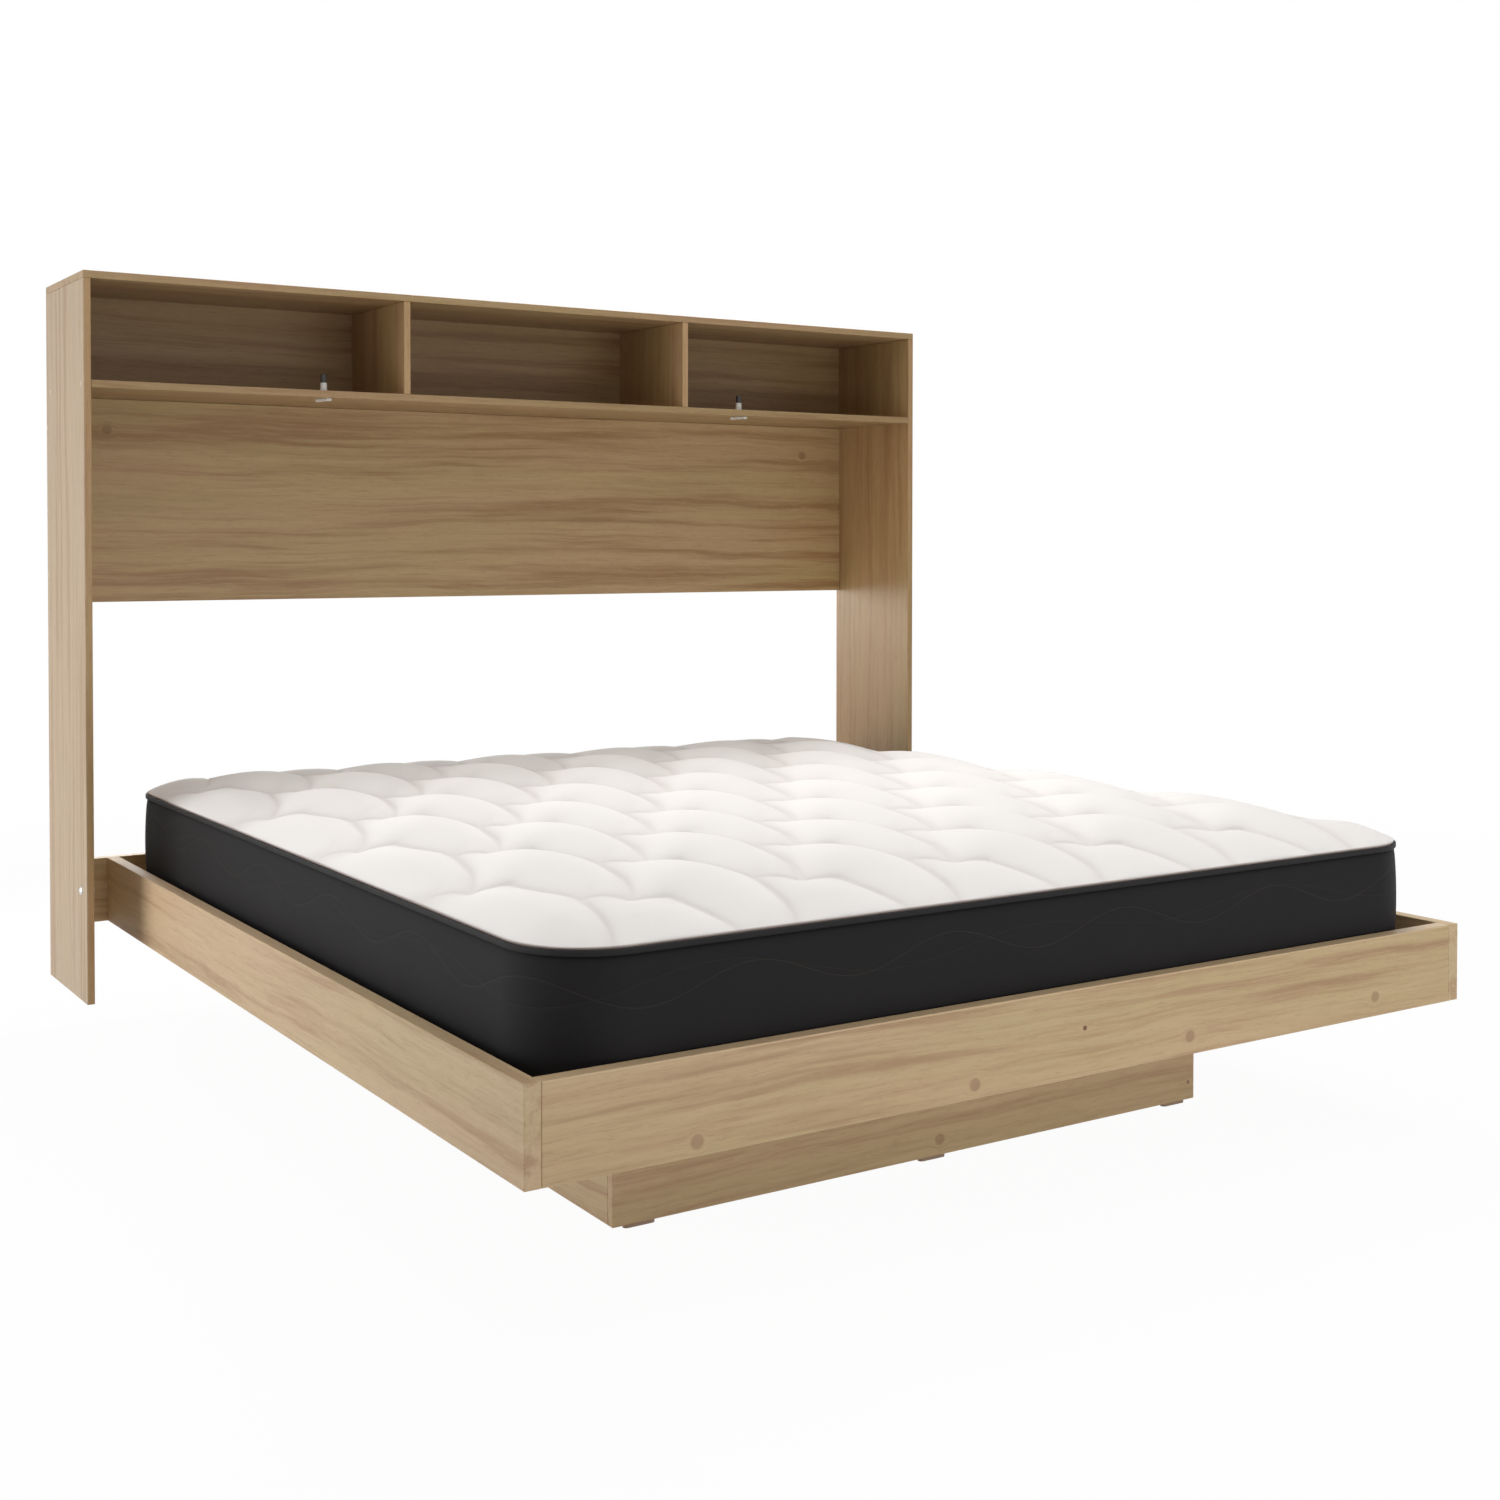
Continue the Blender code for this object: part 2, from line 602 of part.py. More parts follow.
def quilt_lines():
    """Lines of the quilt's grid as (x share, wave of that line, height of a leaf there).

    Leaves stand in columns. A column's edges wave, and its middle line stays straight. The outer columns
    have two more lines, which keep the mattress's corners round.
    """
    columns = max(4, round(2 * BORDER_X / LEAF_COLUMN))
    lines = []
    for i in range(columns):
        outer = i in (0, columns - 1)
        for part in (0, 0.25, 0.5, 0.75) if outer else (0, 0.5):
            share = -1 + 2 * (i + part) / columns
            wave = 0
            height = 0
            if part == 0 and 0 < i:
                wave = LEAF_WAVE / BORDER_X * (-1) ** i
            if part == 0.5:
                height = 1
            elif part:
                height = SIDE_LINE_HEIGHT_SHARE
            lines.append((share, wave, height, i))
    lines.append((1, 0, 0, columns))
    return lines


def quilt_rows():
    """Rows of the quilt's grid as (y share, phase along a leaf in turns), closer near the two ends."""
    count = max(LEAF_CELLS, round(2 * BORDER_Y / (LEAF_LENGTH / LEAF_CELLS)))
    rows = []
    for j in range(count):
        end = j in (0, count - 1)
        for part in (0, 0.5) if end else (0,):
            rows.append((-1 + 2 * (j + part) / count, (j + part) / LEAF_CELLS))
    rows.append((1, count / LEAF_CELLS))
    return rows


def crown(u, v):
    """Share of the crown's height: flat in the middle, falling steeply to the seam."""
    return (1 - abs(u) ** CROWN_EDGE_SHARES) * (1 - abs(v) ** CROWN_EDGE_SHARES)


def quilt_height(phase, column, height):
    """Height of a leaf at a phase along it: full in the middle, low at its two narrow necks."""
    turns = phase + column / 2
    from_middle = abs((turns + 0.5) % 1 - 0.5) * 2
    rise = 1 - (1 - NECK_HEIGHT_SHARE) * from_middle**PUFF_FALL_SHARE
    return PUFF_HEIGHT * height * rise


def build_quilted_top(white):
    """Quilted top: leaves in staggered columns over a crown, closed by a flat face at the seam."""
    lines, rows = quilt_lines(), quilt_rows()
    shape = bmesh.new()
    rim_z = SEAM_Z + SEAM_GROOVE_RISE
    grid = []
    for v, phase in rows:
        row = []
        for u, wave, height, column in lines:
            on_rim = abs(u) == 1 or abs(v) == 1
            shift = 0 if abs(v) == 1 else wave * math.cos(2 * math.pi * phase)
            x, y = mattress_point(u + shift, v, 0)
            z = rim_z
            if not on_rim:
                z += CROWN_HEIGHT * crown(u, v) + quilt_height(phase, column, height) * min(1, 2 * crown(u, v))
            row.append(shape.verts.new((x, y, z)))
        grid.append(row)
    for lower, upper in zip(grid, grid[1:]):
        for i in range(len(lines) - 1):
            shape.faces.new((lower[i], lower[i + 1], upper[i + 1], upper[i]))
    rim = [shape.verts.new((*mattress_point(u, v, SEAM_GROOVE_DEPTH), SEAM_Z + GAP / 2)) for u, v in rim_shares()]
    edge = grid_edge(grid)
    for i in range(len(rim)):
        j = (i + 1) % len(rim)
        shape.faces.new((rim[i], rim[j], edge[j], edge[i]))
    shape.faces.new(rim)
    finish("mattress_quilted_top", shape, white, math.radians(50))


def grid_edge(grid):
    """The grid's outer ring, in order round the mattress."""
    bottom, top = grid[0], grid[-1]
    right = [row[-1] for row in grid[1:-1]]
    left = [row[0] for row in grid[1:-1]]
    return bottom + right + top[::-1] + left[::-1]


def rim_shares():
    """The grid's outer ring as (x share, y share), in order round the mattress."""
    shares = [[(line[0], row[0]) for line in quilt_lines()] for row in quilt_rows()]
    return grid_edge(shares)


def build_border(charcoal):
    """Upright border with a slight bulge, drawn in to a groove at each seam, and the flat underside."""
    top = SEAM_Z - GAP / 2
    lower_seam = MATTRESS_FOOT + LOWER_SEAM_HEIGHT
    profile = [
        (SEAM_GROOVE_DEPTH, MATTRESS_FOOT),
        (0, MATTRESS_FOOT + LOWER_SEAM_HEIGHT - SEAM_GROOVE_RISE),
        (SEAM_GROOVE_DEPTH, lower_seam),
    ]
    wall_foot = lower_seam + SEAM_GROOVE_RISE
    wall_top = SEAM_Z - SEAM_GROOVE_RISE
    for i in range(BORDER_STEPS + 1):
        share = i / BORDER_STEPS
        profile.append((-BORDER_BULGE * math.sin(math.pi * share), wall_foot + (wall_top - wall_foot) * share))
    profile.append((SEAM_GROOVE_DEPTH, top))
    shares = rim_shares()
    shape = bmesh.new()
    rings = []
    for inset, z in profile:
        rings.append([shape.verts.new((*mattress_point(u, v, inset), z)) for u, v in shares])
    for lower, upper in zip(rings, rings[1:]):
        for i in range(len(shares)):
            j = (i + 1) % len(shares)
            shape.faces.new((lower[i], lower[j], upper[j], upper[i]))
    shape.faces.new(rings[0])
    shape.faces.new(rings[-1])
    finish("mattress_border", shape, charcoal, math.radians(50))


def build_piping(name, seam_z, charcoal):
    """Closed round cord that lies in a seam's groove."""
    slope = math.atan2(SEAM_GROOVE_RISE, SEAM_GROOVE_DEPTH)
    outward = (PIPING_RADIUS + 2 * GAP) / math.sin(slope) - SEAM_GROOVE_DEPTH
    shares = rim_shares()
    shape = bmesh.new()
    rings = []
    for i in range(PIPING_SIDES):
        turn = 2 * math.pi * (i + 0.5) / PIPING_SIDES
        inset = -outward - PIPING_RADIUS * math.cos(turn)
        z = seam_z + PIPING_RADIUS * math.sin(turn)
        rings.append([shape.verts.new((*mattress_point(u, v, inset), z)) for u, v in shares])
    for k in range(PIPING_SIDES):
        lower, upper = rings[k], rings[(k + 1) % PIPING_SIDES]
        for i in range(len(shares)):
            j = (i + 1) % len(shares)
            shape.faces.new((lower[i], lower[j], upper[j], upper[i]))
    finish(name, shape, charcoal, math.radians(60))


def main():
    clear_scene()
    oak = material("light_oak_laminate", (0.50, 0.38, 0.26), 0.55)
    pine = material("pale_pine", (0.62, 0.47, 0.30), 0.70)
    steel = material("zinc_plated_steel", (0.62, 0.63, 0.64), 0.35, 1.0)
    white_plastic = material("white_plastic", (0.72, 0.72, 0.70), 0.40)
    black_plastic = material("black_plastic", (0.02, 0.018, 0.017), 0.45)
    quilt = material("white_quilted_knit", (0.86, 0.85, 0.83), 0.90)
    charcoal = material("charcoal_border_fabric", (0.035, 0.034, 0.036), 0.85)

    build_top_board(oak)
    build_shelf(oak)
    build_niche_back(oak)
    build_lower_back(oak)
    build_end_rails(oak)
    build_bearers(pine)
    build_slat_supports(pine)
    build_slats(pine)
    build_plinth(oak, pine)
    build_glides(black_plastic)
    for side, sign in SIDES:
        build_side_panel(side, sign, oak)
        build_divider(side, sign, oak)
        build_side_rail(side, sign, oak)
        build_corner_block(side, sign, pine)
        build_brace(side, sign, steel)
        build_bolt(side, sign, steel)
        build_switch(side, sign, white_plastic, black_plastic)
        build_switch_plate(side, sign, white_plastic)
    build_border(charcoal)
    build_quilted_top(quilt)
    build_piping("mattress_top_piping", SEAM_Z, charcoal)
    build_piping("mattress_lower_piping", MATTRESS_FOOT + LOWER_SEAM_HEIGHT, charcoal)


main()
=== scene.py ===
"""Looks of the platform bed: printed oak boards, pine slats, small fittings and a quilted mattress, with a
pale floor, soft light and the camera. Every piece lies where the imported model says; all lengths are metres."""

import math

import bpy
import numpy as np
from mathutils import Matrix, Vector


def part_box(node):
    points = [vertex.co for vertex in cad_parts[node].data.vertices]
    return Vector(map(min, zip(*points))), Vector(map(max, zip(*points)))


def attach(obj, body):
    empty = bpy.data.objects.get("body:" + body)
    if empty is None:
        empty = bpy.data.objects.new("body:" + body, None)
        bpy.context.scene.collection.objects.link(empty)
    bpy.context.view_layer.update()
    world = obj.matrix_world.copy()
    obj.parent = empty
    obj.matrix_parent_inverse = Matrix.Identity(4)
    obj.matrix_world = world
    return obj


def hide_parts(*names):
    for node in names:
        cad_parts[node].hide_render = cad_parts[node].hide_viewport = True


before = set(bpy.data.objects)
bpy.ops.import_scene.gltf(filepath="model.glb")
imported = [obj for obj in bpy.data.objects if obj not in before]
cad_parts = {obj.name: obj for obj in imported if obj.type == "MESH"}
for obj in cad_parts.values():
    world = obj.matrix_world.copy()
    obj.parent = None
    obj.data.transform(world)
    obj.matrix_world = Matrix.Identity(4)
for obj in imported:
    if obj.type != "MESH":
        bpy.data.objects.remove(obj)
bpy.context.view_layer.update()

SCENE = bpy.context.scene
SCENE.view_settings.view_transform = "Standard"
FULL_TURN = 2 * math.pi
PANEL_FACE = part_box("headboard_side_panel_right")[1].x


# The mattress's outline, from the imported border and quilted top

BORDER_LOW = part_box("mattress_border")[0]
TOP_LOW, TOP_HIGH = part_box("mattress_quilted_top")
OUTLINE_HALF = ((TOP_HIGH.x - TOP_LOW.x) / 2, (TOP_HIGH.y - TOP_LOW.y) / 2)
OUTLINE_CENTRE = ((TOP_HIGH.x + TOP_LOW.x) / 2, (TOP_HIGH.y + TOP_LOW.y) / 2)
OUTLINE_CORNER = 0.13
SEAM_HEIGHT = TOP_LOW.z
LOWER_SEAM_HEIGHT = BORDER_LOW.z + 0.012
OUTLINE_LENGTH = 4 * (OUTLINE_HALF[0] + OUTLINE_HALF[1]) - (8 - FULL_TURN) * OUTLINE_CORNER


# Finishes: a small way of writing shader maths


def paint(red, green, blue):
    """A colour from 0 to 255 per channel as it is seen, turned to the shader's linear values."""
    channels = [value / 255 for value in (red, green, blue)]
    return (*[c / 12.92 if c <= 0.04045 else ((c + 0.055) / 1.055) ** 2.4 for c in channels], 1.0)


class Wire:
    """One output of a finish's nodes. Sums, differences, products and so on of wires add Math nodes."""

    def __init__(self, finish, socket):
        self.finish = finish
        self.socket = socket

    def math(self, operation, *values):
        """Add a Math node with these inputs, and give its output."""
        return self.finish.node("ShaderNodeMath", values, operation=operation)

    def __add__(self, other):
        return self.math("ADD", self, other)

    def __radd__(self, other):
        return self.math("ADD", other, self)

    def __sub__(self, other):
        return self.math("SUBTRACT", self, other)

    def __rsub__(self, other):
        return self.math("SUBTRACT", other, self)

    def __mul__(self, other):
        return self.math("MULTIPLY", self, other)

    def __rmul__(self, other):
        return self.math("MULTIPLY", other, self)

    def __truediv__(self, other):
        return self.math("DIVIDE", self, other)

    def __pow__(self, other):
        return self.math("POWER", self, other)

    def size(self):
        return self.math("ABSOLUTE", self)

    def sine(self):
        return self.math("SINE", self)

    def at_most(self, other):
        return self.math("MINIMUM", self, other)

    def at_least(self, other):
        return self.math("MAXIMUM", self, other)

    def rise(self, low, high):
        """0 below low, 1 above high, and a smooth step between them; low above high turns it round."""
        inputs = {"Value": self, "From Min": low, "From Max": high}
        return self.finish.node("ShaderNodeMapRange", inputs, interpolation_type="SMOOTHSTEP")


class Finish:
    """One material: a Principled shader and the nodes that feed it."""

    def __init__(self, name, **constants):
        self.material = bpy.data.materials.new(name)
        self.material.use_nodes = True
        self.tree = self.material.node_tree
        self.shader = self.tree.nodes["Principled BSDF"]
        for socket, value in constants.items():
            self.shader.inputs[socket.replace("_", " ")].default_value = value

    def node(self, kind, inputs=(), output=0, **settings):
        """Add a node: settings come first, then the values or links of its sockets; gives one output."""
        made = self.tree.nodes.new(kind)
        for setting, value in settings.items():
            setattr(made, setting, value)
        pairs = inputs.items() if isinstance(inputs, dict) else enumerate(inputs)
        for socket, value in pairs:
            self.feed(made.inputs[socket], value)
        return Wire(self, made.outputs[output])

    def feed(self, socket, value):
        """Link a wire to a socket, or set the socket's own value."""
        if isinstance(value, Wire):
            self.tree.links.new(value.socket, socket)
        else:
            socket.default_value = value

    def set(self, socket, value):
        """Feed one input of the Principled shader."""
        self.feed(self.shader.inputs[socket], value)

    def place(self):
        """The three coordinates of the point, in the bed's own frame."""
        return self.parts(self.node("ShaderNodeTexCoord", output="Object"))

    def parts(self, vector):
        """The three numbers of a vector."""
        split = self.tree.nodes.new("ShaderNodeSeparateXYZ")
        self.feed(split.inputs[0], vector)
        return [Wire(self, split.outputs[i]) for i in range(3)]

    def cloth_place(self):
        """Length along the cloth and height on it, from the piece's own map, in metres."""
        return self.parts(self.node("ShaderNodeTexCoord", output="UV"))[:2]

    def noise(self, x, y, z, detail=2.0, roughness=0.5):
        """Noise from 0 to 1 whose coordinates are scaled beforehand, so that it can be drawn out."""
        vector = self.node("ShaderNodeCombineXYZ", (x, y, z))
        inputs = {"Vector": vector, "Scale": 1.0, "Detail": detail, "Roughness": roughness}
        return self.node("ShaderNodeTexNoise", inputs, output="Fac")

    def mix(self, share, first, second):
        """First colour where share is 0, second where it is 1."""
        return self.node("ShaderNodeMix", {0: share, 6: first, 7: second}, output=2, data_type="RGBA")

    def relief(self, height, depth, strength=1.0):
        """A height from 0 to 1, as deep as depth metres, on the surface."""
        inputs = {"Height": height, "Distance": depth, "Strength": strength}
        self.set("Normal", self.node("ShaderNodeBump", inputs, output="Normal"))


# Woods


def printed_oak(name, grain, base, knots=(), bands=(), bold=1.0, outer=None, dull=0.36):
    """Light oak print with its grain along one axis.

    Brown bands a few centimetres wide run along the grain, bent by slow noise; narrower streaks, fine
    fibres and short pores are noise drawn out along it. Bold scales the bands' depth. A knot is an oval
    around its place, with its radius and its darkness, and the grain swells round it. A band entry is a
    plain lighter strip along an edge, a painted highlight where the edge catches the light: axis, place,
    half width. Outer is a paler, cooler tone for the outer faces of the side panels, painted light from
    the left and its grazing reflection there. Dull is the least roughness.
    """
    finish = Finish(name, IOR=1.45)
    axes = dict(zip("XYZ", finish.place()))
    along = axes[grain]
    across, through = [axes[key] for key in "ZYX" if key != grain]

    knot_mark = None
    for spot, radius, darkness in knots:
        spots = dict(zip("XYZ", spot))
        a = (along - spots[grain]) / (radius * 1.05)
        b, c = [(axes[key] - spots[key]) / radius for key in "ZYX" if key != grain]
        far = (a * a + b * b + c * c) ** 0.5
        mark = far.rise(1.15, 0.75) * darkness
        swell = (far / 2.6).rise(1.0, 0.0) * b * (0.9 * radius)
        across = across - swell
        knot_mark = mark if knot_mark is None else knot_mark.at_least(mark)

    slow = finish.noise(along * 1.3, across * 2.5, through * 2.5, detail=3.0)
    across = across + (slow - 0.5) * 0.06
    band = finish.noise(along * 1.2, across * 32.0, through * 32.0, detail=3.0, roughness=0.6)
    streak = finish.noise(along * 2.6, across * 95.0, through * 95.0, detail=3.0, roughness=0.65)
    fibre = finish.noise(along * 20.0, across * 270.0, through * 270.0, detail=4.0, roughness=0.7)
    fine = finish.noise(along * 26.0, across * 1100.0, through * 1100.0, detail=2.0)
    pore = finish.noise(along * 45.0, across * 800.0, through * 800.0, detail=1.0).rise(0.64, 0.73)
    cloud = finish.noise(along * 1.3 + 11.0, across * 9.0, through * 9.0, detail=2.0)

    red, green, blue = base
    brown = paint(red - 27, green - 33, blue - 32)
    pale = paint(red + 9, green + 11, blue + 9)
    dark = paint(red - 58, green - 64, blue - 62)
    colour = finish.mix(cloud.rise(0.35, 0.65), paint(red - 3, green + 1, blue - 4), paint(red + 2, green, blue))
    # Painted light: the outer faces of the side panels get a paler, cooler tone, for the light from the left and
    # its grazing reflection there.
    if outer is not None:
        red, green, blue = outer
        outer_face_light = axes["X"].size().rise(PANEL_FACE - 0.004, PANEL_FACE - 0.0005)
        colour = finish.mix(outer_face_light, colour, paint(red, green, blue))
    colour = finish.mix(band.rise(0.48, 0.68) * (0.8 * bold), colour, brown)
    colour = finish.mix(band.rise(0.50, 0.28) * (0.5 * bold), colour, pale)
    colour = finish.mix(streak.rise(0.50, 0.75) * 0.5, colour, brown)
    colour = finish.mix(streak.rise(0.48, 0.25) * 0.4, colour, pale)
    colour = finish.mix(fibre.rise(0.5, 0.75) * 0.5, colour, brown)
    colour = finish.mix(fibre.rise(0.5, 0.27) * 0.4, colour, pale)
    colour = finish.mix(pore * 0.35, colour, dark)
    if knot_mark is not None:
        colour = finish.mix(knot_mark, colour, paint(red - 76, green - 96, blue - 80))
    # Painted highlight: each entry lightens a narrow strip along an edge that catches the light.
    for key, place, half in bands:
        strip = (axes[key] - place).size().rise(half + 0.0002, half)
        colour = finish.mix(strip * 0.8, colour, paint(red + 15, green + 17, blue + 18))
    finish.set("Base Color", colour)
    finish.set("Roughness", dull + fibre * 0.12)
    finish.relief(fibre * 0.5 + fine * 0.3 - pore * 0.6, 0.0002, 0.4)
    return finish.material


def planed_pine(name, grain):
    """Planed pine: yellow early wood between narrow browner growth lines, a wave across the grain bent by noise."""
    finish = Finish(name, IOR=1.45)
    axes = dict(zip("XYZ", finish.place()))
    along = axes[grain]
    across, through = [axes[key] for key in "ZYX" if key != grain]
    bend = finish.noise(along * 0.9, across * 7.0, through * 7.0, detail=2.0)
    rings = (((across * 0.8 + through) * 120.0 + bend * 9.0) * FULL_TURN).sine()
    fibre = finish.noise(along * 8.0, across * 420.0, through * 420.0, detail=3.0)
    cloud = finish.noise(along * 3.0, across * 12.0, through * 12.0, detail=2.0)
    colour = finish.mix(cloud, paint(224, 196, 152), paint(214, 182, 134))
    colour = finish.mix(rings.rise(0.2, 1.0) * 0.5, colour, paint(190, 146, 94))
    colour = finish.mix(fibre.rise(0.55, 0.8) * 0.35, colour, paint(178, 136, 90))
    finish.set("Base Color", colour)
    finish.set("Roughness", 0.6 + fibre * 0.2)
    finish.relief(fibre * 0.6 + rings * 0.2, 0.0003, 0.5)
    return finish.material


# Metal and plastics


def zinc_plate():
    """Bright zinc: small patches of a slightly different grey and gloss, with fine drawn scratches."""
    finish = Finish("zinc_plated_steel", Metallic=1.0)
    x, y, z = finish.place()
    patch = finish.noise(x * 160.0, y * 160.0, z * 160.0, detail=2.0)
    scratch = finish.noise(x * 90.0, y * 90.0, z * 1500.0, detail=2.0)
    finish.set("Base Color", finish.mix(patch, paint(196, 198, 200), paint(222, 223, 222)))
    finish.set("Roughness", 0.24 + patch * 0.14 + scratch * 0.08)
    finish.relief(scratch, 0.0001, 0.4)
    return finish.material


def moulded_plastic(name, first, second, roughness):
    """Moulded plastic with a fine orange-peel skin and a faint change of tone."""
    finish = Finish(name)
    x, y, z = finish.place()
    skin = finish.noise(x * 1800.0, y * 1800.0, z * 1800.0, detail=1.0)
    tone = finish.noise(x * 45.0, y * 45.0, z * 45.0, detail=2.0)
    finish.set("Base Color", finish.mix(tone, paint(*first), paint(*second)))
    finish.set("Roughness", roughness + skin * 0.1)
    finish.relief(skin, 0.0001, 0.35)
    return finish.material


# Fabrics


def quilted_knit():
    """White knitted ticking: fine rows of loops as relief, and painted shade, a touch greyer, in the stitched
    creases.
    """
    finish = Finish("white_quilted_knit", Roughness=0.9, Sheen_Weight=0.12, Sheen_Roughness=0.6)
    x, y, z = finish.place()
    rows = ((x * 3000.0).sine() * (y * 2400.0 + (x * 3000.0).sine() * 0.7).sine()) * 0.5 + 0.5
    cloud = finish.noise(x * 6.0, y * 6.0, z * 6.0, detail=3.0)
    painted_crease_shade = finish.node("ShaderNodeAttribute", output="Fac", attribute_name="painted_crease_shade")
    colour = finish.mix(cloud, paint(240, 238, 235), paint(236, 233, 230))
    # Painted shade: the stitched creases and the hollows between the puffs are tinted grey.
    colour = finish.mix(painted_crease_shade * 0.4, colour, paint(198, 191, 186))
    colour = finish.mix(rows * 0.12, colour, paint(222, 219, 215))
    # Painted reflection: a thin brownish band on the white just above the upper seam tape.
    colour = finish.mix(z.rise(SEAM_HEIGHT + 0.0088, SEAM_HEIGHT + 0.0062) * 0.8, colour, paint(128, 100, 88))
    finish.set("Base Color", colour)
    finish.relief(rows, 0.0004, 0.35)
    return finish.material


def border_cloth():
    """Charcoal border: fine twill and two faint waved stitch lines, whose waves fit whole round the outline."""
    first_height, second_height = 0.444, 0.446
    finish = Finish("charcoal_border_fabric", Roughness=0.7, Specular_IOR_Level=0.15)
    length, height = finish.cloth_place()
    turn = length * (FULL_TURN / OUTLINE_LENGTH)
    first = height - first_height - (turn * 21.0 + 2.5).sine() * 0.021
    second = height - second_height - (turn * 13.0 + 5.2).sine() * 0.018 - (turn * 8.0).sine() * 0.008
    line = first.size().at_most(second.size() + 0.0004)
    stitch = line.rise(0.0012, 0.0004)
    dent = line.rise(0.007, 0.0)
    twill = ((length * 3800.0 + height * 5200.0).sine() * (height * 6200.0).sine()) * 0.5 + 0.5
    cloud = finish.noise(length * 9.0, height * 14.0, 0.0, detail=3.0)
    colour = finish.mix(cloud, paint(24, 23, 24), paint(30, 28, 29))
    colour = finish.mix(twill * 0.35, colour, paint(18, 17, 18))
    colour = finish.mix(stitch * 0.4, colour, paint(54, 53, 43))
    finish.set("Base Color", colour)
    finish.relief(twill * 0.12 - dent * 0.5 - stitch * 0.3, 0.0012, 0.6)
    return finish.material


def woven_tape():
    """Flat black binding tape: ribs across it."""
    finish = Finish("black_binding_tape", Roughness=0.6, Specular_IOR_Level=0.2)
    length, height = finish.cloth_place()
    rib = (length * 5200.0).sine() * 0.5 + 0.5
    tone = finish.noise(length * 40.0, height * 60.0, 0.0, detail=2.0)
    finish.set("Base Color", finish.mix(tone, paint(16, 15, 15), paint(23, 21, 21)))
    finish.relief(rib, 0.0003, 0.5)
    return finish.material


# Meshes


def solid(name, points, quads, triangles, material):
    """Put points and faces, given as whole arrays, into a named object."""
    mesh = bpy.data.meshes.new(name)
    corners = np.concatenate([np.ravel(quads), np.ravel(triangles)]).astype(np.int32)
    sizes = np.concatenate([np.full(len(quads), 4), np.full(len(triangles), 3)]).astype(np.int32)
    starts = np.concatenate([[0], np.cumsum(sizes)[:-1]]).astype(np.int32)
    mesh.vertices.add(len(points))
    mesh.vertices.foreach_set("co", np.ravel(points).astype(np.float32))
    mesh.loops.add(len(corners))
    mesh.loops.foreach_set("vertex_index", corners)
    mesh.polygons.add(len(sizes))
    mesh.polygons.foreach_set("loop_start", starts)
    mesh.update(calc_edges=True)
    mesh.validate()
    mesh.shade_smooth()
    mesh.materials.append(material)
    made = bpy.data.objects.new(name, mesh)
    SCENE.collection.objects.link(made)
    return made


def grid_quads(rows, columns, wrap_rows=False, wrap_columns=False):
    """Four corners of each cell of a grid of points, numbered row by row."""
    r = np.arange(rows if wrap_rows else rows - 1)[:, None]
    c = np.arange(columns if wrap_columns else columns - 1)[None, :]
    r2, c2 = (r + 1) % rows, (c + 1) % columns
    corners = [r * columns + c, r * columns + c2, r2 * columns + c2, r2 * columns + c]
    return np.stack([np.broadcast_to(k, (r.size, c.size)) for k in corners], -1).reshape(-1, 4)


# The quilting: one of its stitch nodes, the width of a column and the distance between a column's nodes.
# One stitched line of it runs from a node towards the foot to the next node; a small shell's arc beside the
# node ends at the next column's tip; and a soft fold runs up from the node.
NODE_PLACE = (0.004, -0.586)
COLUMN = 0.1475
PERIOD = 0.445
PUFF_HEIGHT = 0.0245
CREASE_DEPTH = 0.0021
CREASE_WIDTH = 0.0036
STITCH_PULL = 9e5
SHELL_PULL = 8e5
FOLD_PULL = 4e4
STITCH = np.array(
    [
        (0.0, 0.0),
        (-0.005, -0.022),
        (-0.018, -0.082),
        (-0.033, -0.142),
        (-0.053, -0.195),
        (-0.073, -0.239),
        (-0.091, -0.270),
        (-0.074, -0.261),
        (-0.038, -0.263),
        (-0.027, -0.272),
        (-0.022, -0.320),
        (-0.012, -0.372),
        (-0.001, -0.408),
        (0.0, -0.445),
    ]
)
SHELL = np.array(
    [
        (0.001, -0.001),
        (0.014, 0.007),
        (0.031, 0.007),
        (0.046, -0.006),
        (0.054, -0.024),
        (0.0565, -0.0475),
    ]
)
FOLD = np.array([(0.003, 0.002), (0.030, 0.030), (0.055, 0.060), (0.075, 0.090)])


def line_distance(x, y, path):
    """Distance from each point to a broken line, and how far along the line the nearest place is, 0 to 1."""
    starts, steps = path[:-1], np.diff(path, axis=0)
    lengths = np.hypot(steps[:, 0], steps[:, 1])
    passed = np.concatenate([[0], np.cumsum(lengths)[:-1]])
    dx, dy = x[..., None] - starts[:, 0], y[..., None] - starts[:, 1]
    t = np.clip((dx * steps[:, 0] + dy * steps[:, 1]) / lengths**2, 0, 1)
    far = np.hypot(dx - t * steps[:, 0], dy - t * steps[:, 1])
    nearest = far.argmin(-1)[..., None]
    gone = np.take_along_axis(passed + t * lengths, nearest, -1)[..., 0] / lengths.sum()
    return np.take_along_axis(far, nearest, -1)[..., 0], gone


def pattern_distance(x, y, path):
    """Distance to the nearest copy of a path on the repeating tile of two columns by one period."""
    best = np.full(x.shape, np.inf)
    along = np.zeros(x.shape)
    for column in range(-1, 4):
        for turn in range(-2, 3):
            shift = (column * COLUMN, (turn + 0.5 * (column % 2)) * PERIOD)
            far, gone = line_distance(x - shift[0], y - shift[1], path)
            along = np.where(far < best, gone, along)
            best = np.minimum(best, far)
    return best, along


